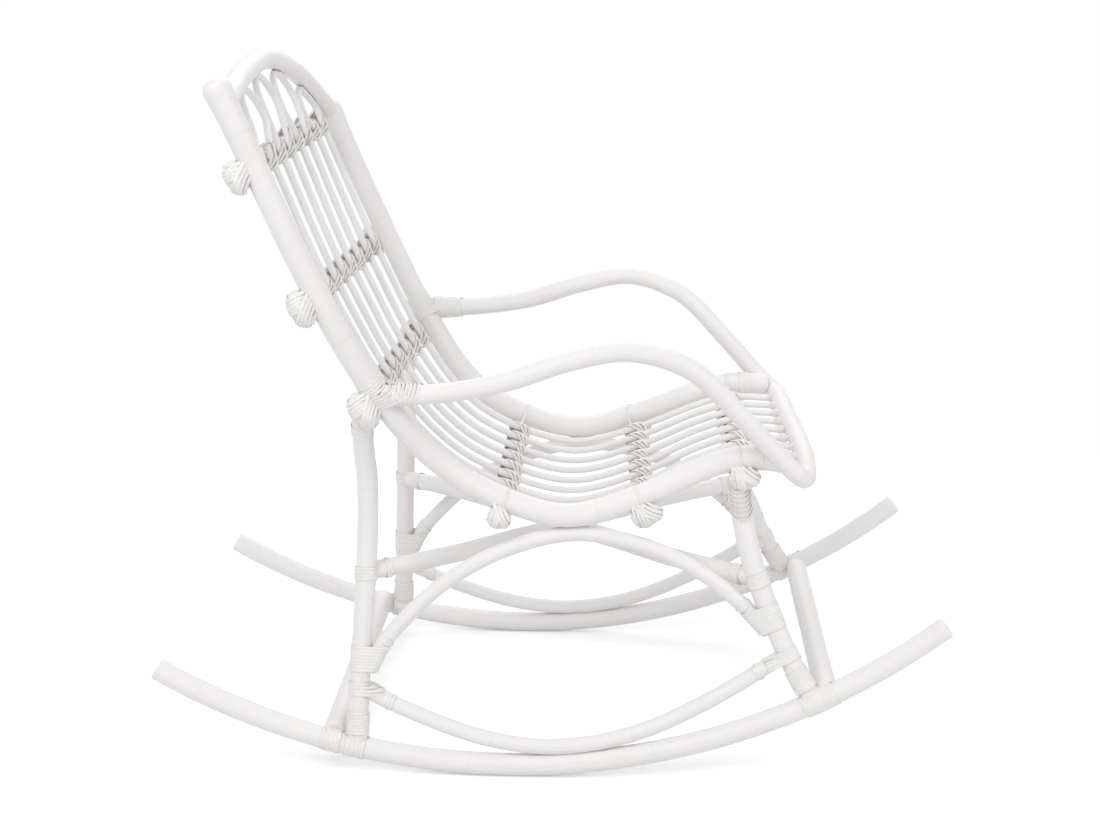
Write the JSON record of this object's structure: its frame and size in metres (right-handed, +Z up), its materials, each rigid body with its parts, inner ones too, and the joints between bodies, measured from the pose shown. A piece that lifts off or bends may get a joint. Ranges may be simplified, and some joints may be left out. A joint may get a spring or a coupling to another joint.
{
  "type": "rattan rocking chair",
  "caption": "White-painted rattan rocking chair with bent-pole arms, a slatted seat and back in one curve, leg arches and cane-bound joints.",
  "frame": {"origin": "On the floor, in the middle of the rockers' length and of the chair's width.", "axes": "The chair faces +X, its left side is +Y and +Z is up. The rockers run along X."},
  "size_m": [1.0597, 0.6382, 0.9389],
  "materials": {
    "painted_rattan": "white paint, satin to matt, over rattan poles",
    "painted_cane": "white paint, matt, over wound cane strips"
  },
  "bodies": {
    "root": {"arch_binding_front_left": "painted_cane", "arch_binding_front_right": "painted_cane", "arch_binding_rear_left": "painted_cane", "arch_binding_rear_right": "painted_cane", "arm_binding_left": "painted_cane", "arm_binding_right": "painted_cane", "arm_hoop": "painted_rattan", "back_pole_bottom": "painted_rattan", "back_pole_bottom_knob_left": "painted_cane", "back_pole_bottom_knob_right": "painted_cane", "back_pole_middle": "painted_rattan", "back_pole_middle_knob_left": "painted_cane", "back_pole_middle_knob_right": "painted_cane", "back_pole_top": "painted_rattan", "back_pole_top_knob_left": "painted_cane", "back_pole_top_knob_right": "painted_cane", "crest_bow": "painted_rattan", "foot_binding_front_left": "painted_cane", "foot_binding_front_right": "painted_cane", "foot_binding_rear_left": "painted_cane", "foot_binding_rear_right": "painted_cane", "front_leg_left": "painted_rattan", "front_leg_right": "painted_rattan", "front_stretcher": "painted_rattan", "hairpin_left": "painted_rattan", "hairpin_mid_left": "painted_rattan", "hairpin_mid_right": "painted_rattan", "hairpin_right": "painted_rattan", "hoop_binding_front_left": "painted_cane", "hoop_binding_front_right": "painted_cane", "hoop_binding_rear_left": "painted_cane", "hoop_binding_rear_right": "painted_cane", "inner_hoop_left": "painted_rattan", "inner_hoop_right": "painted_rattan", "lower_bow_left": "painted_rattan", "lower_bow_right": "painted_rattan", "rear_leg_left": "painted_rattan", "rear_leg_right": "painted_rattan", "rear_stretcher": "painted_rattan", "rocker_left": "painted_rattan", "rocker_right": "painted_rattan", "seat_pole_front": "painted_rattan", "seat_pole_front_knob_left": "painted_cane", "seat_pole_front_knob_right": "painted_cane", "seat_pole_middle": "painted_rattan", "seat_pole_middle_knob_left": "painted_cane", "seat_pole_middle_knob_right": "painted_cane", "seat_pole_rear": "painted_rattan", "seat_pole_rear_knob_left": "painted_cane", "seat_pole_rear_knob_right": "painted_cane", "side_rail_left": "painted_rattan", "side_rail_right": "painted_rattan", "upper_arch_left": "painted_rattan", "upper_arch_right": "painted_rattan"}
  },
  "joints": []
}
